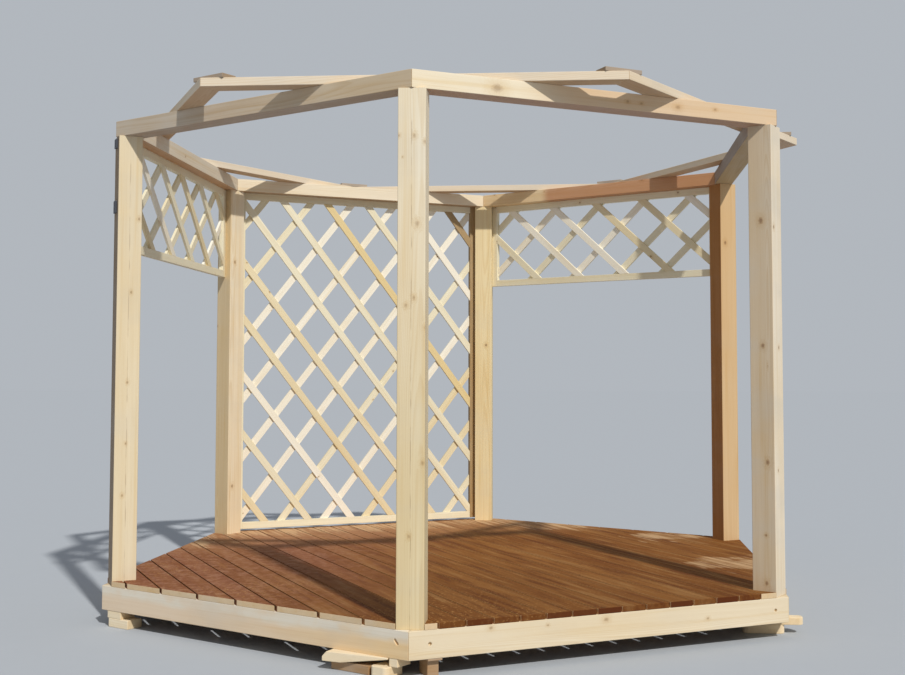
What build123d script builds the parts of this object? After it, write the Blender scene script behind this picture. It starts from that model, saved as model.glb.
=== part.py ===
from build123d import *
import os
from math import atan2, cos, degrees, radians, sin, tan

# Hexagonal garden pergola of planed timber on its own boarded platform.
# Millimetres, +Z up. The origin is on the ground under the middle of the platform.
# Corners lie at 30, 90, 150, 210, 270 and 330 degrees, and the front corner points to -Y.

# Platform
PACKING_H = 80.0              # ground to the underside of the rim
RIM_LEDGE = 38.0              # post to the outer corner of the rim
RIM_H = 120.0
RIM_T = 45.0
JOIST_T = 45.0
JOIST_H = 120.0
JOIST_SPACING = 412.0
JOIST_COUNT = 7
BLOCK_DEPTH = 120.0           # corner block under each post, inside the rim
BLOCK_W = 200.0
BOARD_W = 120.0               # deck board
BOARD_GAP = 8.0
BOARD_T = 26.0

# Screw recesses in the front right rim board, and a slanting pocket in the front left one
RECESS_D = 15.0
RECESS_DEPTH = 12.0
RECESS_FRONT = 97.0           # front corner of the rim to the first recess
RECESS_RIGHT = 79.0           # the other corner to the second one
RECESS_DROP = 58.0            # rim top to the recesses
POCKET_L = 30.0
POCKET_W = 12.0
POCKET_SLANT = 48.0
POCKET_SETBACK = 66.0
POCKET_DROP = 49.0

# Posts
POST_W = 120.0
POST_CENTRE_R = 1866.0        # centre to the middle of each post
POST_H = 2286.0               # rim top to beam underside
POST_ARRIS = 4.0              # rounding of the four long edges
POST_NOTCH = 2.0              # clearance of the deck boards around a post
CLEAT_W = 44.0                # two cleats on the outer face of the front left post
CLEAT_T = 11.0
CLEAT_LOW_H = 64.0
CLEAT_LOW_DROP = 332.0        # post top to the top of the lower one
CLEAT_HIGH_H = 48.0
CLEAT_HIGH_DROP = 12.0

# Roof frame
BEAM_OVERHANG = 8.0           # post to the outer corner of the beams
BEAM_W = 110.0
BEAM_H = 80.0
RING_W = 100.0                # upper ring, turned by 30 degrees
RING_T = 40.0
RING_SLIP = 35.0              # its front board lies this far to the left of the middle
RING_SKEW = 1.0               # and this many degrees out of square
PLATE_L = 190.0               # tie plate across each mitre of the upper ring
PLATE_W = 85.0
PLATE_T = 20.0
PLATE_SETBACK = 45.0          # tip of the ring to the plate's outer edge

# Lattice panels
PANEL_SETOUT = 20.0           # post centre line to the panel's inner face
LATH_T = 15.0                 # two layers make the panel's thickness
LATH_W = 45.0
FRAME_W = 44.0
PANEL_LIFT = 16.0             # deck to the underside of the full panel
VALANCE_H = 580.0
TALL_RUN = 152.0              # half the width of a diamond in the full panel
TALL_RISE = 192.0             # half its height
TALL_SHIFT = -14.0            # crossing nearest the panel's middle
TALL_FIRST = 179.0            # deck to the first row of crossings
VALANCE_RUN = 173.0
VALANCE_RISE = 152.0
VALANCE_FIRST = 222.0         # valance underside to the first row of crossings

SEAT = 0.3                    # clearance between a panel or block and what holds it
MITRE_GAP = 0.6               # open joint between two mitred pieces

# Packing offcuts, measured along the rim from its corner: near end, far end
OFFCUT_DEPTH = 90.0
OFFCUT_SETBACK = 2.0          # rim face to the offcut's end
FOOT_UPPER_H = 36.0           # plain pile of two, at four of the corners
FOOT_UPPER_NEAR = 43.0
FOOT_UPPER_FAR = 144.0
FOOT_LOWER_NEAR = 52.0
FOOT_LOWER_FAR = 197.0
CROSS_NEAR = 117.0            # pile laid across the rim at the front right corner
CROSS_FAR = 187.0
CROSS_L = 200.0
CROSS_OUT = 88.0              # its end beyond the rim's face
CROSS_STEP = 90.0             # the lower piece is this much further in
CROSS_ROUND = 26.0
BLOCK_NEAR = 60.0             # small block under the front corner
BLOCK_FAR = 105.0
BUTT_NEAR = 92.0              # piece laid across under that block
BUTT_FAR = 185.0
BUTT_OUT = 30.0
BUTT_ROUND = 22.0
WEDGE_NEAR = 108.0            # long tapered offcut beside the block
WEDGE_FAR = 430.0
WEDGE_H = 42.0
WEDGE_TIP = 8.0
WEDGE_FLAT = 90.0             # length of full thickness
WEDGE_CHAMFER = 22.0
WEDGE_OUT = 4.0               # its thin end beyond the rim's face
WEDGE_SKEW = 10.0             # its angle to the rim
BED_NEAR = 195.0              # board under the wedge
BED_FAR = 405.0
BED_OUT = 22.0
SHIM_NEAR = 88.0              # thin shim on the other side of the front corner
SHIM_FAR = 155.0
SHIM_H = 10.0
STUB_NEAR = 96.0              # block under the shim
STUB_FAR = 148.0
STUB_SETBACK = 26.0

# Levels
RIM_TOP = PACKING_H + RIM_H
DECK_TOP = RIM_TOP + BOARD_T
POST_TOP = RIM_TOP + POST_H
BEAM_TOP = POST_TOP + BEAM_H
RING_TOP = BEAM_TOP + RING_T

# Distances from the middle
HALF_SIDE = radians(30)
POST_APOTHEM = POST_CENTRE_R * cos(HALF_SIDE)
POST_HALF_SPAN = POST_CENTRE_R * sin(HALF_SIDE)
RIM_CORNER_R = POST_CENTRE_R + POST_W / 2 + RIM_LEDGE
RIM_APOTHEM = RIM_CORNER_R * cos(HALF_SIDE)
RIM_HALF_SPAN = RIM_CORNER_R * sin(HALF_SIDE)
BEAM_CORNER_R = POST_CENTRE_R + POST_W / 2 + BEAM_OVERHANG
RING_CORNER_R = BEAM_CORNER_R

# Directions from the middle, in degrees
corner_names = ["back_right", "back", "back_left", "front_left", "front", "front_right"]
side_names = ["right", "back_right", "back_left", "left", "front_left", "front_right"]
CORNERS = {name: 60 * i + 30 for i, name in enumerate(corner_names)}
SIDES = {name: 60 * i for i, name in enumerate(side_names)}

os.makedirs("parts", exist_ok=True)


def plan(azimuth, level):
    """Plan with local X in the given direction."""
    course = radians(azimuth)
    return Plane(origin=(0, 0, level), x_dir=(cos(course), sin(course), 0), z_dir=(0, 0, 1))


def side_plan(azimuth, level):
    """Plan of one side: local X runs along the side, local Y points outwards."""
    return plan(azimuth - 90, level)


def elevation(azimuth, distance):
    """Elevation seen from the middle: local X along the face, local Y up, Z inwards."""
    out = radians(azimuth)
    along = radians(azimuth - 90)
    return Plane(
        origin=(distance * cos(out), distance * sin(out), 0),
        x_dir=(cos(along), sin(along), 0),
        z_dir=(-cos(out), -sin(out), 0),
    )


def hexagon(corner_radius, first=0):
    """Corner points anticlockwise, the first one in the given direction."""
    return [Vector(corner_radius, 0).rotate(Axis.Z, first + 60 * i) for i in range(6)]


def mitre(corners, i, width):
    """Outer and inner end of the joint at one corner of a ring of boards."""
    corner = corners[i % 6]
    last = (corners[(i - 1) % 6] - corner).normalized()
    following = (corners[(i + 1) % 6] - corner).normalized()
    inwards = (last + following).normalized()
    return corner, corner + inwards * width / inwards.cross(following).length


def ring_board(corners, i, width, bottom, height):
    """The board from one corner of a ring to the next, mitred at both ends."""
    outer_start, inner_start = mitre(corners, i, width)
    outer_end, inner_end = mitre(corners, i + 1, width)
    trim = (outer_end - outer_start).normalized() * (MITRE_GAP / 2 / cos(HALF_SIDE))
    with BuildPart() as board:
        with BuildSketch(Plane.XY.offset(bottom)):
            with BuildLine():
                Polyline(
                    outer_start + trim,
                    outer_end - trim,
                    inner_end - trim,
                    inner_start + trim,
                    close=True,
                )
            make_face()
        extrude(amount=height)
    return board.part


def lath_layer(azimuth, distance, lean, run, rise, middle, first, bounds):
    """One layer of parallel laths that fills the panel's opening; lean is +1 for / and -1 for \\."""
    left, right, low, high = bounds
    slope = Vector(run, lean * rise).normalized()
    angle = degrees(atan2(slope.Y, slope.X))
    length = (high - low) / abs(slope.Y) + 2 * LATH_W
    reach = (right - left) / 2 + (high - low) * run / rise
    count = int(reach / (2 * run)) + 1
    mid_height = (low + high) / 2
    drift = lean * (mid_height - first) * run / rise
    with BuildPart() as layer:
        with BuildSketch(elevation(azimuth, distance)):
            for i in range(-count, count + 1):
                with Locations(Location((middle + drift + 2 * run * i, mid_height), angle)):
                    Rectangle(length, LATH_W)
            with Locations(((left + right) / 2, mid_height)):
                Rectangle(right - left, high - low, mode=Mode.INTERSECT)
        extrude(amount=-LATH_T)
    return layer.part


def lattice_panel(azimuth, bottom, top, run, rise, middle, first):
    """Framed panel between two posts, its stiles bevelled to sit on the posts' faces."""
    inner = POST_APOTHEM + PANEL_SETOUT
    outer = inner + 2 * LATH_T
    face = (POST_W / 2 + SEAT) / cos(HALF_SIDE)
    inner_half = POST_HALF_SPAN - face + PANEL_SETOUT * tan(HALF_SIDE)
    outer_half = inner_half + 2 * LATH_T * tan(HALF_SIDE)
    opening_half = inner_half - FRAME_W
    low = bottom + FRAME_W
    high = top - FRAME_W
    sink = FRAME_W / 4
    bounds = (-opening_half - sink, opening_half + sink, low - sink, high + sink)
    front = lath_layer(azimuth, inner, -1, run, rise, middle, first, bounds)
    back = lath_layer(azimuth, inner + LATH_T, 1, run, rise, middle, first, bounds)
    with BuildPart() as panel:
        with BuildSketch(side_plan(azimuth, bottom)):
            with BuildLine():
                Polyline(
                    (-inner_half, inner),
                    (inner_half, inner),
                    (outer_half, outer),
                    (-outer_half, outer),
                    close=True,
                )
            make_face()
        extrude(amount=top - bottom)
        with BuildSketch(elevation(azimuth, inner)):
            with Locations((0, (low + high) / 2)):
                Rectangle(2 * opening_half, high - low)
        extrude(amount=-2 * LATH_T, mode=Mode.SUBTRACT)
        add(front)
        add(back)
    return panel.part


def save(name, part):
    part.label = name
    export_step(part, f"parts/{name}.step")


# Packing. Each offcut lies under one side, near the end of it that local X points to, or near
# the other end where end is -1.
def offcut(side, end, near, far, out, depth, bottom, height, rounding=0):
    """One offcut lying flat; out is its end's distance beyond the rim's face."""
    with BuildPart() as piece:
        with BuildSketch(side_plan(SIDES[side], bottom)):
            with Locations((end * (RIM_HALF_SPAN - (near + far) / 2), RIM_APOTHEM + out - depth / 2)):
                if rounding:
                    RectangleRounded(far - near, depth, rounding)
                else:
                    Rectangle(far - near, depth)
        extrude(amount=height)
    return piece.part


def wedge(side, end):
    """The long tapered offcut, its top along the underside of the rim, its thick end further out."""
    tip = (end * (RIM_HALF_SPAN - WEDGE_NEAR), RIM_APOTHEM + WEDGE_OUT, 0)
    face = elevation(SIDES[side] - end * WEDGE_SKEW, 0)
    face.origin = side_plan(SIDES[side], 0).from_local_coords(tip)
    far = end * (WEDGE_NEAR - WEDGE_FAR)
    with BuildPart() as piece:
        with BuildSketch(face):
            with BuildLine():
                Polyline(
                    (0, PACKING_H),
                    (0, PACKING_H - WEDGE_TIP),
                    (far + end * WEDGE_FLAT, PACKING_H - WEDGE_H),
                    (far, PACKING_H - WEDGE_H),
                    (far, PACKING_H - WEDGE_CHAMFER),
                    (far + end * WEDGE_CHAMFER, PACKING_H),
                    close=True,
                )
            make_face()
        extrude(amount=OFFCUT_DEPTH)
    return piece.part


foot_lower_h = PACKING_H - FOOT_UPPER_H
plain_sides = ["front_left", "back_right", "back_left", "left"]

with BuildPart() as packing_lower:
    for side in plain_sides:
        add(offcut(side, 1, FOOT_LOWER_NEAR, FOOT_LOWER_FAR, -OFFCUT_SETBACK, OFFCUT_DEPTH,
                   0, foot_lower_h))
    add(offcut("right", 1, CROSS_NEAR, CROSS_FAR, CROSS_OUT - CROSS_STEP, CROSS_L,
               0, foot_lower_h, CROSS_ROUND))
    add(offcut("front_left", -1, BUTT_NEAR, BUTT_FAR, BUTT_OUT, OFFCUT_DEPTH + BUTT_OUT,
               0, foot_lower_h, BUTT_ROUND))
    add(offcut("front_left", -1, BED_NEAR, BED_FAR, BED_OUT, OFFCUT_DEPTH,
               0, PACKING_H - WEDGE_H))
    add(offcut("front_right", 1, STUB_NEAR, STUB_FAR, -STUB_SETBACK, OFFCUT_DEPTH,
               0, PACKING_H - SHIM_H))
save("packing_lower", packing_lower.part)

with BuildPart() as packing_upper:
    for side in plain_sides:
        add(offcut(side, 1, FOOT_UPPER_NEAR, FOOT_UPPER_FAR, -OFFCUT_SETBACK, OFFCUT_DEPTH,
                   foot_lower_h, FOOT_UPPER_H))
    add(offcut("right", 1, CROSS_NEAR, CROSS_FAR, CROSS_OUT, CROSS_L,
               foot_lower_h, FOOT_UPPER_H, CROSS_ROUND))
    add(offcut("front_left", -1, BLOCK_NEAR, BLOCK_FAR, -OFFCUT_SETBACK, OFFCUT_DEPTH,
               foot_lower_h, FOOT_UPPER_H))
    add(wedge("front_left", -1))
    add(offcut("front_right", 1, SHIM_NEAR, SHIM_FAR, -OFFCUT_SETBACK, OFFCUT_DEPTH + STUB_SETBACK,
               PACKING_H - SHIM_H, SHIM_H))
save("packing_upper", packing_upper.part)

# Rim: boards on edge, mitred at the corners
rim_corners = hexagon(RIM_CORNER_R, SIDES["right"] - 30)
for i, (name, azimuth) in enumerate(SIDES.items()):
    with BuildPart() as rim:
        add(ring_board(rim_corners, i, RIM_T, PACKING_H, RIM_H))
        if name == "front_right":
            with BuildSketch(elevation(azimuth, RIM_APOTHEM)):
                for along in (RIM_HALF_SPAN - RECESS_FRONT, RECESS_RIGHT - RIM_HALF_SPAN):
                    with Locations((along, RIM_TOP - RECESS_DROP)):
                        Circle(RECESS_D / 2)
            extrude(amount=RECESS_DEPTH, mode=Mode.SUBTRACT)
        if name == "front_left":
            with BuildSketch(elevation(azimuth, RIM_APOTHEM)):
                with Locations((POCKET_SETBACK - RIM_HALF_SPAN, RIM_TOP - POCKET_DROP)):
                    SlotOverall(POCKET_L, POCKET_W, rotation=POCKET_SLANT)
            extrude(amount=RECESS_DEPTH, mode=Mode.SUBTRACT)
    save(f"rim_{name}", rim.part)

# Inside the rim: a block in each corner under the post, and joists from the front left corner's
# block to the back right one's
deck_azimuth = CORNERS["back_right"]
inside_rim_r = RIM_CORNER_R - (RIM_T + SEAT) / cos(HALF_SIDE)
block_middle = inside_rim_r - BLOCK_DEPTH / 2
with BuildPart() as corner_blocks:
    with BuildSketch(plan(deck_azimuth, PACKING_H)):
        with PolarLocations(block_middle, 6):
            Rectangle(BLOCK_DEPTH, BLOCK_W)
        Polygon(*hexagon(inside_rim_r), align=None, mode=Mode.INTERSECT)
    extrude(amount=RIM_H)
save("corner_blocks", corner_blocks.part)

with BuildPart() as joists:
    with BuildSketch(plan(deck_azimuth, RIM_TOP - JOIST_H)):
        with GridLocations(0, JOIST_SPACING, 1, JOIST_COUNT):
            Rectangle(2 * RIM_CORNER_R, JOIST_T)
        Polygon(*hexagon(inside_rim_r), align=None, mode=Mode.INTERSECT)
        with PolarLocations(block_middle, 6):
            Rectangle(BLOCK_DEPTH + 2 * SEAT, BLOCK_W + 2 * SEAT, mode=Mode.SUBTRACT)
    extrude(amount=JOIST_H)
save("joists", joists.part)

# Deck boards square to the joists, cut flush with the rim. A notch round each post runs out over
# the rim's corner.
board_pitch = BOARD_W + BOARD_GAP
board_count = int(2 * RIM_CORNER_R / board_pitch) + 1
notch_inner_r = POST_CENTRE_R - POST_W / 2 - POST_NOTCH
with BuildPart() as deck_boards:
    with BuildSketch(plan(deck_azimuth, RIM_TOP)):
        for i in range(board_count):
            with Locations((RIM_CORNER_R - BOARD_W / 2 - i * board_pitch, 0)):
                Rectangle(BOARD_W, 2 * RIM_CORNER_R)
        Polygon(*hexagon(RIM_CORNER_R), align=None, mode=Mode.INTERSECT)
        with PolarLocations((notch_inner_r + RIM_CORNER_R) / 2, 6):
            Rectangle(RIM_CORNER_R - notch_inner_r, POST_W + 2 * POST_NOTCH, mode=Mode.SUBTRACT)
    extrude(amount=BOARD_T)
save("deck_boards", deck_boards.part)

# Posts, their faces square to the radius
for name, azimuth in CORNERS.items():
    out = radians(azimuth)
    post_plan = Plane(
        origin=(POST_CENTRE_R * cos(out), POST_CENTRE_R * sin(out), RIM_TOP),
        x_dir=(cos(out), sin(out), 0),
        z_dir=(0, 0, 1),
    )
    with BuildPart() as post:
        with BuildSketch(post_plan):
            RectangleRounded(POST_W, POST_W, POST_ARRIS)
        extrude(amount=POST_H)
    save(f"post_{name}", post.part)

with BuildPart() as post_cleats:
    with BuildSketch(elevation(CORNERS["front_left"], POST_CENTRE_R + POST_W / 2)):
        for drop, height in ((CLEAT_LOW_DROP, CLEAT_LOW_H), (CLEAT_HIGH_DROP, CLEAT_HIGH_H)):
            with Locations((0, POST_TOP - drop - height / 2)):
                Rectangle(CLEAT_W, height)
    extrude(amount=-CLEAT_T)
save("post_cleats", post_cleats.part)

# Roof frame: mitred beams on the posts, and a ring of flat boards turned by 30 degrees on them
beam_corners = hexagon(BEAM_CORNER_R, SIDES["right"] - 30)
for i, name in enumerate(SIDES):
    save(f"beam_{name}", ring_board(beam_corners, i, BEAM_W, POST_TOP, BEAM_H))

ring_corners = hexagon(RING_CORNER_R)
front_middle = (ring_corners[4] + ring_corners[5]) / 2
for i in (4, 5):
    skewed = (ring_corners[i] - front_middle).rotate(Axis.Z, RING_SKEW)
    ring_corners[i] = front_middle + skewed - Vector(RING_SLIP, 0)
for i, name in enumerate(CORNERS):
    save(f"ring_{name}", ring_board(ring_corners, i, RING_W, BEAM_TOP, RING_T))

with BuildPart() as tie_plates:
    with BuildSketch(Plane.XY.offset(RING_TOP)):
        for i in range(6):
            tip, inner = mitre(ring_corners, i, RING_W)
            inwards = (inner - tip).normalized()
            middle = tip + inwards * (PLATE_SETBACK + PLATE_W / 2)
            turn = degrees(atan2(inwards.Y, inwards.X))
            with Locations(Location((middle.X, middle.Y), turn)):
                Rectangle(PLATE_W, PLATE_L)
    extrude(amount=PLATE_T)
save("tie_plates", tie_plates.part)

# Lattice: a full panel at the back left, and a valance on each side of it
save(
    "lattice_back_left",
    lattice_panel(
        SIDES["back_left"],
        DECK_TOP + PANEL_LIFT,
        POST_TOP - SEAT,
        TALL_RUN,
        TALL_RISE,
        TALL_SHIFT - TALL_RUN,
        DECK_TOP + TALL_FIRST,
    ),
)
for name in ("left", "back_right"):
    underside = POST_TOP - VALANCE_H
    save(
        f"valance_{name}",
        lattice_panel(
            SIDES[name],
            underside,
            POST_TOP - SEAT,
            VALANCE_RUN,
            VALANCE_RISE,
            0,
            underside + VALANCE_FIRST,
        ),
    )
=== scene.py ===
import math
import random

import bmesh
import bpy
from mathutils import Matrix, Vector


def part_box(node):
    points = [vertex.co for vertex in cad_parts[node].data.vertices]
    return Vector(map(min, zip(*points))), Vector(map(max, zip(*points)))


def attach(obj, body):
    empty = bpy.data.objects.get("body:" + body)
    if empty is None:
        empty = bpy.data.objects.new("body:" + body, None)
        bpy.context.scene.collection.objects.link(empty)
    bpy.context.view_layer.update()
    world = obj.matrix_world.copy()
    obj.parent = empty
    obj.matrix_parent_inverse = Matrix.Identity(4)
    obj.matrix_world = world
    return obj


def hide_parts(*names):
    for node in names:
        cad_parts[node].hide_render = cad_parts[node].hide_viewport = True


# Looks of a hexagonal garden pergola on its boarded platform. Metres, +Z up, angles in degrees.

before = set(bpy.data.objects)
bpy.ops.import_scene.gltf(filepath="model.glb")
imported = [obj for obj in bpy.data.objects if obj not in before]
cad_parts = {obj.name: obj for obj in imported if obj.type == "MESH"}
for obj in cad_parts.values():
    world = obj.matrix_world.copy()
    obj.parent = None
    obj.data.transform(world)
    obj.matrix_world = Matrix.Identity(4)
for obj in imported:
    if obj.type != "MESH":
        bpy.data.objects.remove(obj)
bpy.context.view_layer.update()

# Directions from the middle

HALF_SECTOR = 30
SECTOR = 2 * HALF_SECTOR
COS_HALF = math.cos(math.radians(HALF_SECTOR))
TAN_HALF = math.tan(math.radians(HALF_SECTOR))
CORNERS = {name: SECTOR * i + HALF_SECTOR for i, name in enumerate(
    ["back_right", "back", "back_left", "front_left", "front", "front_right"])}
SIDES = {name: SECTOR * i for i, name in enumerate(
    ["right", "back_right", "back_left", "left", "front_left", "front_right"])}
UP = Vector((0, 0, 1))

# Random values: the seed, and each node's own salt (the first of six for posts, beams, rim and ring)

SEED = 41
SALTS_PER_SEED = 1000
SALTS = {"post": 10, "beam": 20, "rim": 30, "ring": 40, "tie_plates": 50, "joists": 51, "packing_lower": 52,
         "packing_upper": 53, "deck_boards": 54, "corner_blocks": 55, "post_cleats": 56,
         "lattice_back_left": 60, "valance_left": 61, "valance_back_right": 62}


def unit(azimuth):
    return Vector((math.cos(math.radians(azimuth)), math.sin(math.radians(azimuth)), 0))


def linear(red, green, blue):
    """Colour from 0-255 screen values (sRGB) to the renderer's linear values."""
    def channel(value):
        value /= 255
        return value / 12.92 if value <= 0.04045 else ((value + 0.055) / 1.055) ** 2.4
    return (channel(red), channel(green), channel(blue), 1)


# Shader helper

MIX_FACTOR, MIX_FROM, MIX_TO, MIX_RESULT = 0, 6, 7, 2   # the colour sockets of Blender's mix node


class Shader:
    """A material's nodes, with one short call for each kind."""

    def __init__(self, name):
        self.material = bpy.data.materials.new(name)
        self.material.use_nodes = True
        self.tree = self.material.node_tree
        self.surface = self.tree.nodes["Principled BSDF"]

    def put(self, socket, value):
        if isinstance(value, bpy.types.NodeSocket):
            self.tree.links.new(value, socket)
        else:
            socket.default_value = value

    def node(self, kind, inputs, **settings):
        made = self.tree.nodes.new(kind)
        for key, value in settings.items():
            setattr(made, key, value)
        for key, value in inputs.items():
            self.put(made.inputs[key], value)
        return made

    def math(self, operation, a, b=0.0):
        return self.node("ShaderNodeMath", {0: a, 1: b}, operation=operation).outputs[0]

    def plus(self, a, b):
        return self.math("ADD", a, b)

    def minus(self, a, b):
        return self.math("SUBTRACT", a, b)

    def times(self, a, b):
        return self.math("MULTIPLY", a, b)

    def vector(self, operation, a, b=(0, 0, 0)):
        made = self.node("ShaderNodeVectorMath", {0: a, 1: b}, operation=operation)
        return made.outputs["Value" if operation in ("LENGTH", "DOT_PRODUCT") else "Vector"]

    def reach(self, vector, direction):
        """How far a vector goes in a direction."""
        return self.vector("DOT_PRODUCT", vector, tuple(direction))

    def split(self, vector):
        return self.node("ShaderNodeSeparateXYZ", {0: vector}).outputs

    def join(self, x, y, z=0.0):
        return self.node("ShaderNodeCombineXYZ", {0: x, 1: y, 2: z}).outputs[0]

    def attribute(self, name, output="Fac"):
        return self.node("ShaderNodeAttribute", {}, attribute_name=name).outputs[output]

    def normal(self):
        return self.node("ShaderNodeNewGeometry", {}).outputs["Normal"]

    def place(self):
        return self.node("ShaderNodeTexCoord", {}).outputs["Object"]

    def noise(self, vector, stretch, detail=2.0, roughness=0.5, output="Fac"):
        """Noise from 0 to 1. stretch: how fast it changes along each axis, in cells per metre."""
        place = self.vector("MULTIPLY", vector, stretch)
        inputs = {"Vector": place, "Scale": 1.0, "Detail": detail, "Roughness": roughness}
        return self.node("ShaderNodeTexNoise", inputs).outputs[output]

    def sway(self, noise, width):
        """Noise from 0 to 1 as a measure of up to half the width either way."""
        return self.times(self.minus(noise, 0.5), width)

    def span(self, value, low, high, to_low=0.0, to_high=1.0):
        """Smooth step from to_low to to_high, while value goes from low to high."""
        inputs = {0: value, 1: low, 2: high, 3: to_low, 4: to_high}
        made = self.node("ShaderNodeMapRange", inputs, interpolation_type="SMOOTHSTEP")
        return made.outputs[0]

    def mix(self, factor, a, b, blend="MIX"):
        made = self.node("ShaderNodeMix", {}, data_type="RGBA", blend_type=blend)
        self.put(made.inputs[MIX_FACTOR], factor)
        self.put(made.inputs[MIX_FROM], a)
        self.put(made.inputs[MIX_TO], b)
        return made.outputs[MIX_RESULT]

    def layers(self, tint, blend, *layers):
        """Lays colours over a tint, one after the other, each with its mask."""
        for mask, colour in layers:
            tint = self.mix(mask, tint, colour, blend)
        return tint

    def finish(self, tint, roughness, specular=None):
        """Sets the surface's colour, roughness and, if given, specular level."""
        self.put(self.surface.inputs["Base Color"], tint)
        self.put(self.surface.inputs["Roughness"], roughness)
        if specular is not None:
            self.surface.inputs["Specular IOR Level"].default_value = specular

    def bump(self, height, distance, strength):
        inputs = {"Height": height, "Distance": distance, "Strength": strength}
        self.put(self.surface.inputs["Normal"], self.node("ShaderNodeBump", inputs).outputs[0])


# Wood

RING_WIDTH = 0.0036                    # of a growth ring
LATE_RISE, LATE_FALL = (0.35, 0.85), (1.0, 0.9)   # of the dark wood in each ring
PITH_STRAY = (0, 0.05, 0.05)           # how far the pith strays from a straight line
KNOT_RAGGED = (0.2, 0.8, 0.8, 1.25)    # smooth step that makes a knot's border uneven
KNOT_REGION = (3.2, 0.9)               # round a knot the rings bend, in knot radii
KNOT_BULGE = 0.007                     # how far they bend
KNOT_EDGE, CORE_EDGE = (1.15, 0.75), (0.75, 0.35)   # borders of a knot and its core, in knot radii
KNOT_SQUEEZE = 0.8                     # chance knots are longer along the board
KNOT_LEAST = 0.35                      # smallest chance knot, as a share of the size
NO_KNOT = 20                           # distance where chance leaves a knot out, in knot radii


class Wood:
    """Solid wood in a board's own coordinates: rings round a wandering pith, streaks and knots.

    The first axis runs along the grain. Every pattern is a value from 0 to 1.
    """

    def __init__(self, shader, spacing, chance, size, spots=(), flat=(1, 1, 1)):
        """spacing, chance, size: of chance knots. spots: centre and radius of single knots.

        flat: the single knots' shape by axis, where less than 1 is longer.
        """
        s = shader
        self.grain = s.attribute("grain", "Vector")
        self.local = s.attribute("local", "Vector")
        self.place = s.place()
        wander = s.noise(self.grain, (0.6, 2.0, 2.0), detail=1.0, output="Color")
        wander = s.vector("SUBTRACT", wander, (0.5, 0.5, 0.5))
        bent = s.vector("ADD", self.grain, s.vector("MULTIPLY", wander, PITH_STRAY))
        x, y, z = s.split(bent)
        radius = s.vector("LENGTH", s.join(y, z))

        distance = self.knot_distance(s, x, y, z, radius, spacing, chance, size)
        for centre, reach in spots:
            away = s.vector("SUBTRACT", self.place, tuple(centre))
            away = s.vector("MULTIPLY", away, tuple(share / reach for share in flat))
            distance = s.math("MINIMUM", distance, s.vector("LENGTH", away))
        ragged = s.noise(self.place, (160, 160, 160), detail=1.0)
        distance = s.times(distance, s.span(ragged, *KNOT_RAGGED))
        self.around = s.span(distance, *KNOT_REGION)
        self.knot = s.span(distance, *KNOT_EDGE)
        self.core = s.span(distance, *CORE_EDGE)

        bulge = s.times(self.around, KNOT_BULGE)
        phase = s.math("DIVIDE", s.plus(radius, bulge), RING_WIDTH)
        uneven = s.noise(self.grain, (1.5, 30, 30), detail=1.0)
        phase = s.math("FRACT", s.plus(phase, uneven))
        self.rings = s.times(s.span(phase, *LATE_RISE), s.span(phase, *LATE_FALL))
        self.streaks = s.noise(self.grain, (0.9, 42, 42), detail=3.0, roughness=0.55)
        self.fine = s.noise(self.grain, (3.0, 190, 190), detail=2.0, roughness=0.6)
        self.patches = s.noise(self.grain, (1.3, 5, 5), detail=2.0)
        self.fibre = s.noise(self.grain, (45, 1200, 1200), detail=2.0)

    @staticmethod
    def knot_distance(s, x, y, z, radius, spacing, chance, size):
        """Distance to the nearest branch, in branch radii; branches run outwards from the pith."""
        angle = s.math("ARCTAN2", z, y)
        along = s.math("DIVIDE", x, spacing)
        cell = s.node("ShaderNodeTexVoronoi", {"Vector": s.join(along, angle), "Scale": 1.0},
                      voronoi_dimensions="2D")
        centre_along, centre_angle, _ = s.split(cell.outputs["Position"])
        luck, scale, _ = s.split(cell.outputs["Color"])
        run = s.times(s.minus(along, centre_along), spacing * KNOT_SQUEEZE)
        turn = s.times(s.minus(angle, centre_angle), radius)
        reach = s.times(s.plus(scale, KNOT_LEAST), size)
        distance = s.math("DIVIDE", s.vector("LENGTH", s.join(run, turn)), reach)
        missing = s.math("GREATER_THAN", luck, chance)
        return s.plus(distance, s.times(missing, NO_KNOT))


# Planed pine

KNOT_RIM = linear(158, 118, 76)
KNOT_CORE = linear(98, 66, 42)
LATE_WOOD = (0.80, 0.67, 0.48, 1)
WARM_STREAK = (0.92, 0.83, 0.66, 1)
PALE_STREAK = (1.06, 1.08, 1.12, 1)
GREYED = linear(198, 194, 184)
GLUE = linear(150, 120, 86)
PINE_SPECULAR, PINE_ROUGHNESS = 0.25, 0.5
UPRIGHT_KNOT, LYING_KNOT = (1, 1, 0.7), (0.72, 0.72, 1)   # shapes of single knots, by axis


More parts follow.
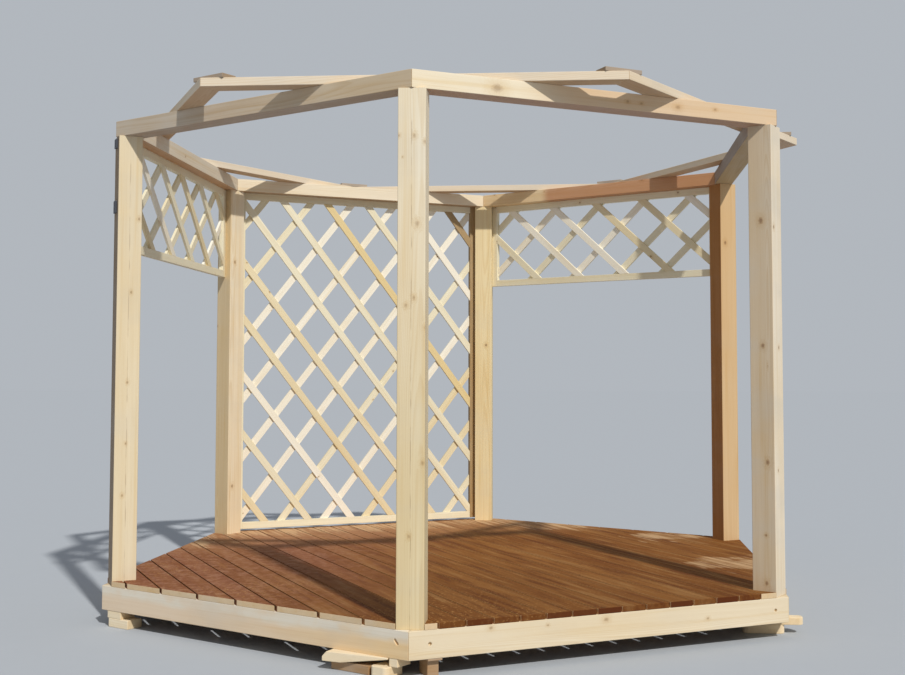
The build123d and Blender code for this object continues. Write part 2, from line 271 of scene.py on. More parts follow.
def pine(name, colour, far=None, turn=(-0.75, 0.75), upper=None, faces=(), grain=1.0, grey=0.15, glue=None,
         spots=(), knots=0.45, upright=False, spacing=0.4, chance=0.22, size=0.008):
    """Planed softwood, unfinished.

    colour and far: at the two ends of the board, with the change between the places in turn.
    upper: painted sheen of skylight on the upper half of a rim board. faces: directions whose faces take a
    darker colour, as painted shade.
    grain, grey, knots: how strongly they show.
    glue: the board's own axis, 1 or 2, that its laminations lie side by side along.
    upright: whether it stands, which shapes its single knots. The rest is as for Wood.
    """
    s = Shader(name)
    wood = Wood(s, spacing, chance, size, spots, UPRIGHT_KNOT if upright else LYING_KNOT)
    along, *across = s.split(wood.local)
    tint = linear(*colour)
    if far:
        tint = s.mix(s.span(along, *turn), tint, linear(*far))
    # Painted sheen: the upper half of a rim board takes a pale bluish colour of skylight glare.
    if upper:
        tint = s.mix(upper_half(s, wood, along, across[0]), tint, linear(*upper))
    # Painted shade: faces turned towards the given directions take a darker colour.
    if faces:
        normal = s.normal()
        for direction, own in faces:
            tint = s.mix(s.span(s.reach(normal, direction), 0.6, 0.9), tint, linear(*own))

    warm = s.plus(s.span(wood.streaks, 0.5, 0.75), s.times(s.attribute("tone"), 0.3))
    tint = s.layers(
        tint, "MULTIPLY",
        (s.times(wood.rings, 0.32 * grain), LATE_WOOD),
        (s.times(warm, 0.65 * grain), WARM_STREAK),
        (s.times(s.span(wood.streaks, 0.5, 0.25), 0.8), PALE_STREAK),
        (s.times(s.span(wood.fine, 0.5, 0.8), 0.3 * grain), LATE_WOOD),
        (s.times(s.span(wood.patches, 0.45, 0.75), 0.4), WARM_STREAK))
    if glue:
        tint = glue_line(s, wood, across[glue - 1], tint)
    stain = s.noise(wood.place, (2.3, 2.3, 5.1), detail=4.0)
    tint = s.mix(s.times(s.span(stain, 0.45, 0.72), grey), tint, GREYED)
    tint = s.layers(
        tint, "MULTIPLY",
        (s.times(s.attribute("cut"), 0.5), LATE_WOOD),
        (s.times(wood.around, 0.35), LATE_WOOD))
    tint = s.layers(
        tint, "MIX",
        (s.times(wood.knot, knots), KNOT_RIM),
        (s.times(wood.core, knots), KNOT_CORE))

    rough = s.plus(s.times(wood.streaks, 0.25), PINE_ROUGHNESS)
    s.finish(tint, s.minus(rough, s.times(wood.knot, 0.15)), PINE_SPECULAR)
    height = s.plus(s.times(wood.rings, 0.5), wood.fibre)
    s.bump(s.plus(height, wood.knot), distance=0.0004, strength=0.5)
    return s.material


def upper_half(s, wood, along, down):
    """Mask of the painted skylight sheen on a rim board's upper half, mottled, with a wavering border that
    ends near the corner.
    """
    border = s.sway(s.noise(wood.local, (3.0, 0, 0), detail=3.0), 0.07)
    high = s.times(s.span(s.minus(border, down), -0.012, 0.02), s.span(along, -0.85, -0.65))
    return s.times(high, s.span(s.noise(wood.place, (7, 7, 14), detail=4.0), 0.35, 0.6, 0.35, 0.95))


def glue_line(s, wood, side, tint):
    """Two laminations side by side: one is warmer, and broken lines of glue show between them."""
    side = s.plus(side, s.sway(s.noise(wood.local, (3.0, 0, 0), detail=2.0), 0.008))
    broken = s.span(s.noise(wood.local, (6.0, 0, 0), detail=3.0), 0.42, 0.58)
    line = s.times(s.span(s.math("ABSOLUTE", side), 0.0026, 0.0008), broken)
    tint = s.mix(s.times(s.span(side, -0.001, 0.001), 0.15), tint, WARM_STREAK, "MULTIPLY")
    return s.mix(s.times(line, 0.5), tint, GLUE)


# Stained deck

STAIN_DARK, STAIN_LIGHT = linear(134, 84, 38), linear(150, 100, 50)   # of the darkest and palest board
STAIN_DEEP = linear(104, 56, 26)
STAIN_THIN = linear(170, 126, 76)
STAIN_STREAK = linear(104, 61, 30)
STAIN_LINE = linear(98, 58, 28)
STAIN_KNOT = linear(76, 48, 30)
STAIN_END = linear(92, 48, 24)
GAP_LIGHT = linear(206, 156, 106)     # painted light: paler board sides, against the shade in the gaps between boards
SHADED_FRONT = (0.88, 0.88, 0.90, 1)
LEFT_RED, LEFT_MOTTLE = linear(142, 90, 66), linear(182, 138, 112)   # of the redder left side
LATTICE_PALE = linear(196, 150, 108)   # of the boards towards the lattice panel
WORN = linear(220, 186, 144)
SAWDUST = linear(212, 164, 100)
DECK_WEAR = [((1.62, -0.12, 0.226), 0.42), ((-1.66, 0.48, 0.226), 0.26), ((0.50, 1.60, 0.226), 0.50),
             ((1.25, 1.05, 0.226), 0.35)]   # worn places: middle and reach
DECK_SPECULAR, DECK_ROUGHNESS = 0.08, 0.65


def stained_deck(name):
    """Brown stained boards: long soft streaks, worn places, and sawdust at the front left edge."""
    s = Shader(name)
    wood = Wood(s, spacing=0.6, chance=0.15, size=0.009)
    leftward = s.reach(wood.place, (-1, 0, 0))
    scuff = s.noise(wood.grain, (1.6, 30, 30), detail=4.0, roughness=0.7)
    tint = deck_stain(s, wood)
    tint = deck_left(s, wood, leftward, tint)
    tint, worn = deck_wear(s, wood, scuff, tint)
    tint = deck_dust(s, wood, tint)
    tint = deck_edges(s, leftward, tint)
    tint = s.mix(s.times(wood.knot, 0.6), tint, STAIN_KNOT)
    s.finish(tint, s.plus(s.times(scuff, 0.25), DECK_ROUGHNESS), DECK_SPECULAR)
    height = s.plus(s.times(wood.rings, 0.6), wood.fibre)
    s.bump(s.minus(height, s.times(worn, 0.4)), distance=0.0005, strength=0.6)
    return s.material


def deck_stain(s, wood):
    """The stain: each board's own tone and long streaks. The boards are also darker towards the front."""
    broad = s.noise(wood.grain, (1.5, 20, 20), detail=4.0, roughness=0.6)
    forward = s.reach(wood.place, unit(CORNERS["front"]))
    tint = s.layers(
        s.mix(s.attribute("tone"), STAIN_DARK, STAIN_LIGHT), "MIX",
        (s.span(broad, 0.50, 0.66, 0.0, 0.75), STAIN_DEEP),
        (s.span(broad, 0.48, 0.33, 0.0, 0.7), STAIN_THIN),
        (s.span(wood.streaks, 0.45, 0.75, 0.0, 0.5), STAIN_STREAK),
        (s.span(wood.fine, 0.5, 0.8, 0.0, 0.3), STAIN_LINE),
        (s.times(wood.rings, 0.18), STAIN_LINE))
    return s.mix(s.span(forward, -0.3, 1.3), tint, SHADED_FRONT, "MULTIPLY")


def deck_left(s, wood, leftward, tint):
    """Redder and mottled towards the left, more so on some boards."""
    left = s.span(leftward, -0.1, 1.2)
    mottle = s.noise(wood.place, (24, 24, 24), detail=4.0, roughness=0.7)
    return s.layers(
        tint, "MIX",
        (s.times(left, s.span(s.attribute("hue"), 0.0, 1.0, 0.45, 0.9)), LEFT_RED),
        (s.times(left, s.span(mottle, 0.42, 0.68, 0.0, 0.5)), LEFT_MOTTLE))


def deck_wear(s, wood, scuff, tint):
    """Paler towards the lattice panel, and worn along it and in a few places. Also returns the wear."""
    lattice_side = s.reach(wood.place, unit(SIDES["back_left"]))
    tint = s.mix(s.span(lattice_side, 0.55, 1.35, 0.0, 0.4), tint, LATTICE_PALE)
    wear = s.span(lattice_side, 1.05, 1.52)
    ragged = s.sway(s.noise(wood.place, (4, 4, 4), detail=4.0), 0.8)
    for centre, reach in DECK_WEAR:
        away = s.vector("LENGTH", s.vector("SUBTRACT", wood.place, centre))
        wear = s.math("MAXIMUM", wear, s.span(s.plus(away, ragged), reach, 0.3 * reach))
    worn = s.plus(s.plus(scuff, s.times(wear, 0.3)), s.sway(s.attribute("tone"), 0.12))
    worn = s.times(s.span(worn, 0.65, 0.88), s.span(wear, 0.0, 0.4))
    return s.mix(s.times(worn, 0.66), tint, WORN), worn


def deck_dust(s, wood, tint):
    """Flecks of sawdust, most of them by the front left edge."""
    left_edge = s.reach(wood.place, unit(SIDES["front_left"]))
    cloud = s.noise(wood.place, (1.5, 1.5, 1.5), detail=3.0)
    dusty = s.times(s.span(left_edge, 0.6, 1.6, 0.25, 1.0), s.span(cloud, 0.35, 0.6))
    flecks = s.span(s.noise(wood.place, (70, 70, 70), detail=2.0), 0.58, 0.68)
    return s.mix(s.times(flecks, s.times(dusty, 0.6)), tint, SAWDUST)


def deck_edges(s, leftward, tint):
    """Painted light on the boards' sides against the shade in the gaps, except at the left, and dark
    stained ends.
    """
    end = s.attribute("cut")
    edge = s.span(s.math("ABSOLUTE", s.reach(s.normal(), UP)), 0.8, 0.3)
    edge = s.times(edge, s.span(leftward, 0.9, -0.1, 0.0, 0.85))
    edge = s.times(edge, s.math("LESS_THAN", end, 0.01))
    return s.layers(tint, "MIX", (edge, GAP_LIGHT), (end, STAIN_END))


# Paint

PAINT_ROUGHNESS = 0.45


def paint(name, colour, chipped):
    """Dark paint on a small cleat. chipped: its colour where it has worn thin."""
    s = Shader(name)
    wood = Wood(s, spacing=0.4, chance=0.0, size=0.008)
    thin = s.span(s.noise(wood.grain, (8, 90, 90), detail=3.0), 0.5, 0.75)
    tint = s.mix(s.times(thin, 0.5), linear(*colour), linear(*chipped))
    s.finish(tint, s.plus(s.times(thin, 0.3), PAINT_ROUGHNESS))
    s.bump(s.plus(thin, wood.fibre), distance=0.0004, strength=0.5)
    return s.material


# Boards

PITH_NEAR, PITH_FAR = 0.03, 0.11       # how far a board was cut from the pith
TRUNK = 60                             # length that the boards are cut from
END_FACING = 0.3                       # a face is an end if its normal leans this far along the grain
SHARP_ANGLE = 25
FLAT_ANGLE = 1
WELD = 1e-5
MEMBER_ARRIS, SMALL_ARRIS, POST_ARRIS, PACKING_ARRIS = 0.0025, 0.002, 0.0015, 0.003
FRAME_ARRIS, LATH_ARRIS = 0.0015, 0.0012


def middle_of(board):
    return sum((v.co for v in board.verts), Vector()) / len(board.verts)


class Pile:
    """Boards joined into one mesh. Each has its own grain, tone and cut ends."""

    def __init__(self, salt):
        self.random = random.Random(SEED * SALTS_PER_SEED + salt)
        self.points, self.faces, self.slots = [], [], []
        self.grain, self.local, self.tone, self.hue, self.cut = [], [], [], [], []

    def add(self, board, along, out, tone=None, slot=None, stain=1.0):
        """board: a bmesh. along: the grain's direction. out: across it, towards the pith's side.

        tone: how warm it is. slot: picks a face's material. stain: how dark its ends are.
        """
        rng = self.random
        across = out.cross(along).normalized()
        axes = Matrix((along, across, out)).to_4x4()
        middle = middle_of(board)
        turn = rng.uniform(0, math.tau)
        away = rng.uniform(PITH_NEAR, PITH_FAR)
        start = rng.uniform(0, TRUNK)
        shift = Vector((start, away * math.cos(turn), away * math.sin(turn)))
        tone = rng.random() if tone is None else tone
        hue = rng.random()
        first = len(self.points)
        for v in board.verts:
            place = axes @ (v.co - middle)
            self.points.append(v.co.copy())
            self.local.append(place)
            self.grain.append(place + shift)
            self.tone.append(tone)
            self.hue.append(hue)
        for face in board.faces:
            self.faces.append([first + v.index for v in face.verts])
            facing = abs(face.normal.dot(along))
            self.cut.append(facing * stain if facing > END_FACING else 0.0)
            self.slots.append(slot(face) if slot else 0)
        board.free()

    def build(self, name, materials, slot, node):
        """Makes the piece. materials: the ones that its faces pick from. node: the part's. slot: not used.
        """
        mesh = bpy.data.meshes.new(name)
        mesh.from_pydata(self.points, [], self.faces)
        for key, kind, domain, values in (
            ("grain", "FLOAT_VECTOR", "POINT", self.grain),
            ("local", "FLOAT_VECTOR", "POINT", self.local),
            ("tone", "FLOAT", "POINT", self.tone),
            ("hue", "FLOAT", "POINT", self.hue),
            ("cut", "FLOAT", "FACE", self.cut),
        ):
            layer = mesh.attributes.new(key, kind, domain)
            if kind == "FLOAT_VECTOR":
                layer.data.foreach_set("vector", [c for value in values for c in value])
            else:
                layer.data.foreach_set("value", values)
        for material in materials:
            mesh.materials.append(material)
        mesh.polygons.foreach_set("material_index", self.slots)
        mesh.update()
        piece = bpy.data.objects.new(name, mesh)
        bpy.context.scene.collection.objects.link(piece)
        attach(piece, "root")
        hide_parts(node)


def soften(board, arris):
    """Rounds a board's sharp edges."""
    board.normal_update()
    sharp = [e for e in board.edges if e.calc_face_angle(0) > math.radians(SHARP_ANGLE)]
    bmesh.ops.bevel(board, geom=sharp, offset=arris, segments=2, profile=0.5, affect="EDGES")
    board.normal_update()
    board.verts.index_update()


def linked(start, seen):
    """The vertices of one solid, from one of them on; adds them to seen."""
    seen.add(start)
    group, edge = [start], [start]
    while edge:
        vert = edge.pop()
        for link in vert.link_edges:
            other = link.other_vert(vert)
            if other not in seen:
                seen.add(other)
                group.append(other)
                edge.append(other)
    return group


def solids_of(node, arris):
    """The node's solids, each as a bmesh with clean faces and softened edges, sorted by place."""
    whole = bmesh.new()
    whole.from_mesh(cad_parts[node].data)
    bmesh.ops.remove_doubles(whole, verts=whole.verts, dist=WELD)
    flat = math.radians(FLAT_ANGLE)
    bmesh.ops.dissolve_limit(whole, angle_limit=flat, verts=whole.verts, edges=whole.edges)
    whole.faces.index_update()
    seen, found = set(), []
    for start in whole.verts:
        if start in seen:
            continue
        group = linked(start, seen)
        solid = bmesh.new()
        made = {v: solid.verts.new(v.co) for v in group}
        faces = {f for v in group for f in v.link_faces}
        for face in sorted(faces, key=lambda f: f.index):
            solid.faces.new([made[v] for v in face.verts])
        bmesh.ops.recalc_face_normals(solid, faces=solid.faces)
        soften(solid, arris)
        found.append(solid)
    whole.free()
    return sorted(found, key=lambda solid: tuple(round(c, 3) for c in middle_of(solid)))


def member(node, along, out, material, slot, salt, arris=SMALL_ARRIS, finish="timber"):
    """A node's timbers, all with their grain in one direction, in its place."""
    pile = Pile(salt)
    for solid in solids_of(node, arris):
        pile.add(solid, along, out)
    pile.build(f"{node}_{finish}", [material], slot, node)


def prism(outline, depth):
    """A board from a flat outline and the vector of its thickness."""
    board = bmesh.new()
    near = [board.verts.new(p) for p in outline]
    far = [board.verts.new(p + depth) for p in outline]
    board.faces.new(near)
    board.faces.new(far)
    for i in range(len(near)):
        j = (i + 1) % len(near)
        board.faces.new([near[i], near[j], far[j], far[i]])
    bmesh.ops.recalc_face_normals(board, faces=board.faces)
    return board


def clip(outline, normal, limit):
    """The part of a flat outline where normal . point is at most limit."""
    kept = []
    for i, point in enumerate(outline):
        before = outline[i - 1]
        a, b = normal.dot(before) - limit, normal.dot(point) - limit
        if (a > 0) != (b > 0):
            kept.append(before.lerp(point, a / (a - b)))
        if b <= 0:
            kept.append(point)
    return kept


# Knots that show, each by its place and radius

POST_R = 1.866                         # from the middle to a post's middle
POST_W = 0.120


def on_post(corner, azimuth, along, height):
    """A place on a post's face. along: across the face, anticlockwise seen from above."""
    return (unit(CORNERS[corner]) * POST_R + unit(azimuth) * POST_W / 2
            + unit(azimuth + 90) * along + UP * height)


def on_side(side, apothem, along, height):
    """A place on the outer face of a rim board or a beam. along: clockwise seen from above."""
    return unit(SIDES[side]) * apothem + unit(SIDES[side] - 90) * along + UP * height


RIM_REACH, BEAM_REACH = (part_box(node + "_right")[1].x for node in ("rim", "beam"))
POST_KNOTS = {
    "front": [(on_post("front", 270, *place), size) for place, size in (
        ((0.012, 2.279), 0.007), ((-0.054, 2.280), 0.005), ((0.057, 2.253), 0.006),
        ((0.025, 1.902), 0.010), ((0.012, 1.587), 0.007), ((-0.022, 1.555), 0.007),
        ((0.064, 1.460), 0.008), ((0.051, 0.892), 0.008), ((-0.006, 0.586), 0.007))],
    "front_left": [(on_post("front_left", 300, *place), size) for place, size in (
        ((0.046, 2.060), 0.007), ((0.012, 1.682), 0.006), ((0.000, 1.222), 0.006),
        ((-0.004, 0.913), 0.005), ((-0.017, 0.652), 0.006))],
    "front_right": [(on_post("front_right", azimuth, *place), size) for azimuth, place, size in (
        (240, (0.003, 2.015), 0.013), (240, (0.006, 1.405), 0.010), (240, (0.024, 0.842), 0.011),
        (240, (0.012, 0.265), 0.009), (330, (-0.039, 1.984), 0.008), (330, (0.008, 1.397), 0.007),
        (330, (-0.017, 0.803), 0.006))],
    "back_right": [(on_post("back_right", 300, -0.025, 2.107), 0.010)],
    "back": [(on_post("back", 270, 0.020, 1.480), 0.009)],
    "back_left": [(on_post("back_left", 330, *place), 0.009) for place in (
        (-0.019, 2.008), (-0.023, 0.535))],
}
RIM_KNOTS = [(on_side("front_right", RIM_REACH, *place), size) for place, size in (
    ((0.034, 0.175), 0.010), ((0.329, 0.174), 0.005), ((-0.512, 0.136), 0.006), ((0.604, 0.185), 0.008))]
BEAM_KNOTS = [(on_side("front_right", BEAM_REACH, *place), size) for place, size in (
    ((-0.387, 2.525), 0.012), ((0.560, 2.522), 0.022), ((-0.110, 2.525), 0.007), ((-0.185, 2.523), 0.006),
    ((-0.600, 2.532), 0.007))]

# Posts

# The faces colours are painted shade on post faces turned from the key light; on the back right post it is
# a warm brown.
POST_PINE = {
    "front": dict(colour=(226, 208, 168), far=(242, 230, 205), glue=1, grain=0.8, knots=0.2),
    "front_left": dict(colour=(234, 220, 190), faces=[(unit(210), (160, 142, 122))], glue=2, knots=0.3),
    "front_right": dict(colour=(238, 226, 205), faces=[(unit(240), (215, 197, 170))], grey=0.3, knots=0.45),
    "back_right": dict(colour=(218, 187, 144), faces=[(unit(210), (171, 122, 72))], grey=0.05),
    "back": dict(colour=(240, 222, 178)),
    "back_left": dict(colour=(242, 227, 198), faces=[(unit(240), (222, 200, 160))]),
}

for i, (name, azimuth) in enumerate(CORNERS.items()):
    timber = pine("pine_post_" + name, upright=True, spots=POST_KNOTS[name], chance=0.05, **POST_PINE[name])
    member("post_" + name, UP, unit(azimuth), timber, "posts", SALTS["post"] + i, POST_ARRIS)

# Beams and the platform's rim

# The faces colours are painted shade on the beams' undersides and on the right beam's inner face.
BEAM_PINE = {
    "front_right": dict(colour=(227, 200, 166), far=(244, 231, 204), turn=(0.1, 0.5),
                        faces=[(-UP, (190, 160, 138))], spots=BEAM_KNOTS, knots=0.25, chance=0.0),
    "front_left": dict(colour=(212, 194, 167), far=(202, 186, 165), faces=[(-UP, (180, 162, 145))],
                       grey=0.35),
    "left": dict(colour=(228, 216, 196), faces=[(-UP, (212, 176, 140))]),
    "back_left": dict(colour=(242, 229, 204), faces=[(-UP, (196, 168, 136))]),
    "back_right": dict(colour=(236, 210, 168), far=(204, 156, 118), turn=(-0.42, -0.34), grey=0.05),
    "right": dict(colour=(186, 166, 130), faces=[(unit(180), (160, 148, 140))], grey=0.3),
}
# upper: painted sheen of skylight on the front left rim board's upper half.
RIM_PINE = {
    "front_right": dict(colour=(232, 217, 189), spots=RIM_KNOTS, knots=0.28, chance=0.0,
                        grain=0.8, grey=0.1),
    "front_left": dict(colour=(243, 214, 168), far=(238, 218, 192), turn=(-0.2, 0.9),
                       upper=(238, 231, 216), chance=0.05, grain=0.8, grey=0.25),
}

plain_pine = pine("pine_rim", (232, 216, 186), grey=0.4)
for i, (name, azimuth) in enumerate(SIDES.items()):
    run = unit(azimuth - 90)
    timber = pine("pine_beam_" + name, **BEAM_PINE[name])
    member("beam_" + name, run, UP, timber, "beams", SALTS["beam"] + i, MEMBER_ARRIS)
    timber = pine("pine_rim_" + name, **RIM_PINE[name]) if name in RIM_PINE else plain_pine
    member("rim_" + name, run, unit(azimuth), timber, "rim", SALTS["rim"] + i, MEMBER_ARRIS)

# Upper ring and its tie plates

# The ring's darker underside colour is painted shade.
ring_pine = pine("pine_ring", (236, 221, 198), faces=[(-UP, (206, 178, 146))], grain=0.9, grey=0.2,
                 chance=0.1)
for i, (name, azimuth) in enumerate(CORNERS.items()):
    member("ring_" + name, unit(azimuth - 90), UP, ring_pine, "beams", SALTS["ring"] + i, MEMBER_ARRIS)

plates = Pile(SALTS["tie_plates"])
for solid in solids_of("tie_plates", SMALL_ARRIS):
    middle = middle_of(solid)
    plates.add(solid, UP.cross(Vector((middle.x, middle.y, 0)).normalized()), UP)
# Darker than the plates' pale tops: their own greyer tone with painted shade of their shadowed edges.
plate_pine = pine("pine_plate", (172, 158, 144), grain=0.7, grey=0.3)
plates.build("tie_plates_timber", [plate_pine], "beams", "tie_plates")

# Joists and corner blocks, hidden in the platform

BOARD_RUN = -60                        # the deck boards run along this direction, over the joists

member("joists", unit(BOARD_RUN + 90), UP, plain_pine, "rim", SALTS["joists"])
member("corner_blocks", UP, unit(0), plain_pine, "rim", SALTS["corner_blocks"])

# Cleats on the front left post

cleat_paint = paint("cleat_dark", (70, 73, 82), (104, 100, 98))
member("post_cleats", UP, unit(CORNERS["front_left"]), cleat_paint, "cleats", SALTS["post_cleats"],
       finish="dark")

# Packing under the corners

PALE, SHADED_BROWN = 0, 1
BED_LEFT = -0.2                        # the bed under the front wedge lies left of this
# The brown offcut is darker timber with painted shade, for the pieces that sit in shadow.
offcut_pine = [
    pine("offcut_pale", (248, 232, 202), grain=0.6, grey=0.1, chance=0.0),
    pine("offcut_shaded_brown", (176, 142, 104), grain=1.2, grey=0.45),
]


def towards(directions, place):
    """The name of the direction that a place lies in."""
    return min(directions, key=lambda name: -unit(directions[name]).dot(place))


def offcut_kind(node, middle):
    """The bed under the wedge and the two pieces right of the front corner are brown: their own darker
    timber with painted shade, as they sit in shadow under the rim.
    """
    bed = node == "packing_lower" and middle.x < BED_LEFT
    return SHADED_BROWN if towards(CORNERS, middle) == "front" and (middle.x > 0 or bed) else PALE


for node in ("packing_lower", "packing_upper"):
    offcuts = Pile(SALTS[node])
    for solid in solids_of(node, PACKING_ARRIS):
        middle = middle_of(solid)
        side = SIDES[towards(SIDES, middle)]
        kind = offcut_kind(node, middle)
        offcuts.add(solid, unit(side - 90), UP, slot=lambda face, kind=kind: kind)
    offcuts.build(node + "_offcuts", offcut_pine, "packing", node)

# Deck boards

BOARD_W, BOARD_PITCH = 0.120, 0.128
BOARD_SIDE = unit(BOARD_RUN + 90)      # the boards are counted against this direction
FACTORY_SIDE = "front_right"           # side where the boards' ends are stained, not freshly cut
RAW_ENDS = (8, 22)                     # boards whose ends on that side are freshly cut
END_STAIN = {10: 1.0, 12: 1.0, 15: 1.0, 16: 0.9, 17: 0.9, 19: 0.6, 20: 0.9}   # darkest ends, by board
PLAIN_END_STAIN = 0.45
DECK_ARRIS = 0.0015
STAINED, RAW = 0, 1


def board_number(place):
    reach = RIM_REACH / COS_HALF
    return round((reach - BOARD_W / 2 - place.dot(BOARD_SIDE)) / BOARD_PITCH)


def deck_slot(face):
    """Pale end grain on the freshly cut ends; stain everywhere else."""
    lying = abs(face.normal.z) > 0.5
    if lying or abs(face.normal.dot(unit(BOARD_RUN))) < END_FACING:
        return STAINED
    factory = face.normal.dot(unit(SIDES[FACTORY_SIDE])) > 0.9
    return STAINED if factory and board_number(face.calc_center_median()) not in RAW_ENDS else RAW


deck_pine = [
    stained_deck("deck_brown"),
    pine("board_end", (226, 202, 166), grain=0.8, grey=0.4, chance=0.0),
]
boards = Pile(SALTS["deck_boards"])
for solid in solids_of("deck_boards", DECK_ARRIS):
    stain = END_STAIN.get(board_number(middle_of(solid)), PLAIN_END_STAIN)
    boards.add(solid, unit(BOARD_RUN), UP, slot=deck_slot, stain=stain)
boards.build("deck_boards_timber", deck_pine, "deck", "deck_boards")

# Lattice panels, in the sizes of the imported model

SETOUT = 0.020                         # the panels stand this far outside the posts' middles
LATH_T, LATH_W = 0.015, 0.045
FRAME_W = 0.044
FIT = 0.0005                           # between a stile and its post
LATH_BEFORE_CUT = 4                    # half its length
SHORTEST_LATH = 0.06
UNEVEN = 0.003                         # of a lath's place, in metres, and of its slope
LATH_TONES = (1.4, 2.2)                # beta distribution
TALL_RUN, TALL_RISE, TALL_SHIFT, TALL_FIRST = 0.152, 0.192, -0.166, 0.163
VALANCE_RUN, VALANCE_RISE, VALANCE_FIRST = 0.173, 0.152, 0.222

CREAM, WHITE, STRAW, GOLD, TAN = range(5)
FRONT_SHADES, BACK_SHADES = (CREAM, WHITE, STRAW), (CREAM, CREAM, WHITE)   # to choose from
# Lath 8 of the front layer, in the top right corner, is tan as painted shade under the beams.
TALL_SHADES = [
    {-1: CREAM, 0: WHITE, 1: STRAW, 2: STRAW, 3: CREAM, 4: CREAM, 5: GOLD, 6: CREAM, 7: WHITE, 8: TAN},
    {-5: WHITE, -4: WHITE, -3: WHITE, -2: WHITE, -1: CREAM, 0: WHITE, 1: STRAW, 2: STRAW, 3: CREAM},
]                                      # front layer and back layer, by lath
TALL_STILES = (CREAM, TAN)             # left and right


class Panel:
    """A lattice panel between two posts, in its node's place: each stile, rail and lath is a board."""

    def __init__(self, node, side):
        self.node = node
        self.out, self.along = unit(SIDES[side]), unit(SIDES[side] - 90)
        self.low, self.high = (corner.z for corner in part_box(node))
        self.inner = POST_R * COS_HALF + SETOUT
        span = POST_R / 2 - (POST_W / 2 / COS_HALF)
        self.half = span + SETOUT * TAN_HALF - FIT
        self.opening = self.half - FRAME_W
        self.pile = Pile(SALTS[node])

    def at(self, s, z, d=0.0):
        """A place s along the panel, z high and d behind its inner face."""
        return self.out * (self.inner + d) + self.along * s + UP * z

    def add(self, outline, depth, arris, course, shade, tone=None):
        board = prism(outline, depth)
        soften(board, arris)
        self.pile.add(board, course, self.out, tone=tone, slot=lambda face: shade)

    def add_frame(self, stiles):
        """stiles: shades of the left and the right one. Their outer sides follow the posts."""
        at, opening, half = self.at, self.opening, self.half
        depth = 2 * LATH_T
        flare = depth * TAN_HALF
        for side, shade in zip((-1, 1), stiles):
            outline = [at(side * opening, self.low), at(side * half, self.low),
                       at(side * (half + flare), self.low, depth), at(side * opening, self.low, depth)]
            self.add(outline, UP * (self.high - self.low), FRAME_ARRIS, UP, shade)
        for z in (self.low, self.high - FRAME_W):
            outline = [at(-opening, z), at(opening, z), at(opening, z, depth), at(-opening, z, depth)]
            self.add(outline, UP * FRAME_W, FRAME_ARRIS, self.along, CREAM)

    def add_laths(self, run, rise, middle, first, shades):
        """run and rise: half the pitch. middle and first: where lath 0 of both layers cross.

        shades: of each layer's laths by their number; the others are chosen at random.
        """
        draw = self.pile.random
        base, top = self.low + FRAME_W, self.high - FRAME_W
        limits = ((self.along, self.opening), (-self.along, self.opening), (UP, top), (-UP, -base))
        count = int((self.opening + (top - base) * run / rise) / (2 * run)) + 2
        for layer, lean in ((0, -1), (1, 1)):
            slope = (self.along * run + UP * lean * rise).normalized()
            side = self.out.cross(slope)
            for i in range(-count, count + 1):
                jitter, lean_jitter = draw.uniform(-UNEVEN, UNEVEN), draw.uniform(-UNEVEN, UNEVEN)
                centre = self.at(middle + 2 * run * i + jitter, first, layer * LATH_T)
                course = (slope + side * lean_jitter).normalized()
                outline = self.lath_outline(centre, course, limits)
                if not outline:
                    continue
                tone = draw.betavariate(*LATH_TONES)
                shade = draw.choice(FRONT_SHADES if layer == 0 else BACK_SHADES)
                shade = shades[layer].get(i, shade)
                self.add(outline, self.out * LATH_T, LATH_ARRIS, course, shade, tone)

    def lath_outline(self, centre, course, limits):
        """A lath's outline, cut to the opening; None where too little of it is left."""
        across = self.out.cross(course) * LATH_W / 2
        reach = course * LATH_BEFORE_CUT
        outline = [centre - reach - across, centre + reach - across,
                   centre + reach + across, centre - reach + across]
        for normal, limit in limits:
            outline = clip(outline, normal, limit)
        if len(outline) < 3:
            return None
        longest = max((a - b).length for a in outline for b in outline)
        return outline if longest >= SHORTEST_LATH else None

    def build(self, materials):
        self.pile.build(self.node + "_laths", materials, "lattice", self.node)


lath_pine = [pine("lath_" + name, colour, grain=grain, grey=0.0, chance=0.15, size=0.006, spacing=0.25)
             for name, colour, grain in (
                 ("cream", (240, 233, 206), 0.7), ("white", (249, 244, 228), 0.5),
                 ("straw", (236, 223, 187), 0.8), ("golden", (234, 214, 162), 1.0),
                 ("tan", (178, 154, 116), 1.0))]

tall = Panel("lattice_back_left", "back_left")
tall.add_frame(TALL_STILES)
tall.add_laths(TALL_RUN, TALL_RISE, TALL_SHIFT, tall.low + TALL_FIRST, TALL_SHADES)
tall.build(lath_pine)
for side in ("left", "back_right"):
    valance = Panel("valance_" + side, side)
    valance.add_frame((CREAM, CREAM))
    valance.add_laths(VALANCE_RUN, VALANCE_RISE, 0.0, valance.low + VALANCE_FIRST, ({}, {}))
    valance.build(lath_pine)

# Floor

FLOOR_SIZE = 200
FLOOR_COLOUR, FLOOR_SPECKLE = linear(186, 192, 199), linear(150, 155, 160)
SPECKLE_SHARE = 0.06                   # how strongly the speckle shows
FLOOR_SPECULAR, FLOOR_ROUGHNESS = 0.0, 0.95

bpy.ops.mesh.primitive_plane_add(size=FLOOR_SIZE, location=(0, 0, 0))
floor = bpy.context.object
floor.name = "floor"
ground = Shader("floor_pale")
speckle = ground.noise(ground.place(), (9, 9, 9), detail=3.0)
tint = ground.mix(ground.times(speckle, SPECKLE_SHARE), FLOOR_COLOUR, FLOOR_SPECKLE)
ground.finish(tint, FLOOR_ROUGHNESS, FLOOR_SPECULAR)
floor.data.materials.append(ground.material)

# Light: a dim sky, one sun lamp, and a backdrop as bright as the floor under both

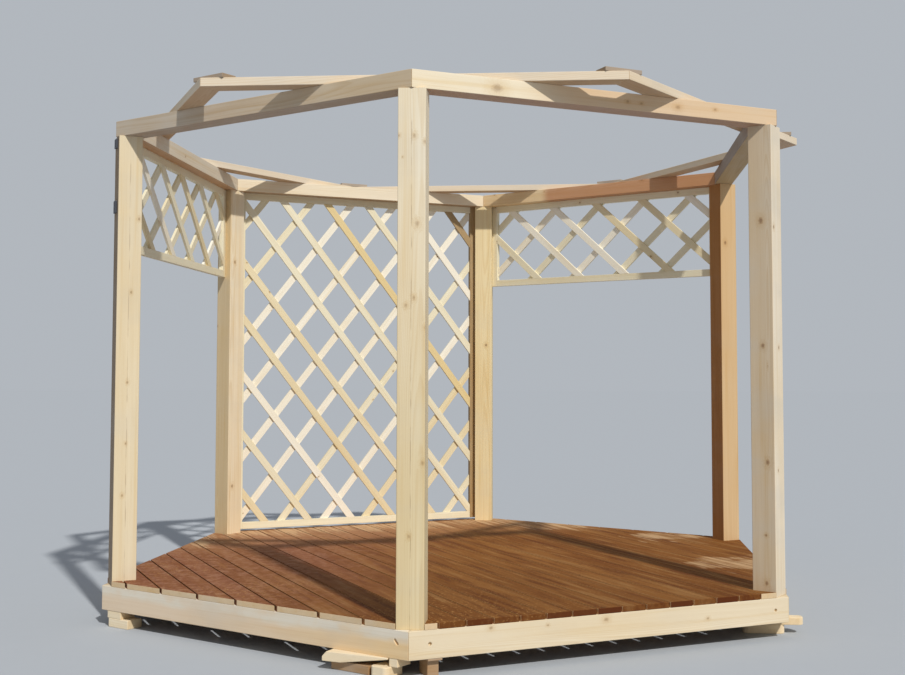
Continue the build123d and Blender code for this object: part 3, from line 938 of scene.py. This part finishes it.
WORLD_COLOUR, WORLD_STRENGTH = (0.94, 0.98, 1.06, 1), 0.33
KEY_AZIMUTH, KEY_HEIGHT, KEY_SPREAD = 300, 43, 1.8
KEY_COLOUR, KEY_STRENGTH = (1.0, 0.97, 0.92), 2.75
KEY_DISTANCE = 10

world = bpy.data.worlds.new("studio")
bpy.context.scene.world = world
world.use_nodes = True
sky = world.node_tree
light = sky.nodes["Background"]
light.inputs["Color"].default_value = WORLD_COLOUR
light.inputs["Strength"].default_value = WORLD_STRENGTH
backdrop = sky.nodes.new("ShaderNodeBackground")
key_share = KEY_STRENGTH * math.sin(math.radians(KEY_HEIGHT)) / math.pi
backdrop.inputs["Color"].default_value = [
    floor_part * (key_share * key_part + WORLD_STRENGTH * world_part)
    for floor_part, key_part, world_part in zip(FLOOR_COLOUR, (*KEY_COLOUR, 1), WORLD_COLOUR)]
path = sky.nodes.new("ShaderNodeLightPath")
pick = sky.nodes.new("ShaderNodeMixShader")
sky.links.new(path.outputs["Is Camera Ray"], pick.inputs[0])
sky.links.new(light.outputs[0], pick.inputs[1])
sky.links.new(backdrop.outputs[0], pick.inputs[2])
sky.links.new(pick.outputs[0], sky.nodes["World Output"].inputs["Surface"])

key_data = bpy.data.lights.new("key", "SUN")
key_data.energy = KEY_STRENGTH
key_data.angle = math.radians(KEY_SPREAD)
key_data.color = KEY_COLOUR
key = bpy.data.objects.new("key", key_data)
bpy.context.scene.collection.objects.link(key)
height = math.radians(KEY_HEIGHT)
key_direction = unit(KEY_AZIMUTH) * math.cos(height) + UP * math.sin(height)
key.location = key_direction * KEY_DISTANCE
key.rotation_euler = key_direction.to_track_quat("Z", "Y").to_euler()

# Camera at the photograph's place; sizes in pixels are in its 905 x 675 frame

PHOTO_W, PHOTO_H = 905, 675
FOCAL_PX = 1238.07
CENTRE_PX = (472.21, 307.06)
SENSOR_MM = 36
EYE = (0.7314, -7.1036, 1.2565)
YAW, PITCH, ROLL = 5.207, 3.189, 0.06

camera_data = bpy.data.cameras.new("camera")
camera_data.sensor_width = SENSOR_MM
camera_data.lens = SENSOR_MM * FOCAL_PX / PHOTO_W
camera_data.shift_x = (PHOTO_W / 2 - CENTRE_PX[0]) / PHOTO_W
camera_data.shift_y = (CENTRE_PX[1] - PHOTO_H / 2) / PHOTO_W
camera = bpy.data.objects.new("camera", camera_data)
bpy.context.scene.collection.objects.link(camera)
camera.location = EYE
camera.rotation_euler = (math.radians(90 + PITCH), 0, math.radians(YAW))
camera.rotation_euler.rotate_axis("Z", math.radians(ROLL))
bpy.context.scene.camera = camera
bpy.context.scene.view_settings.view_transform = "Standard"
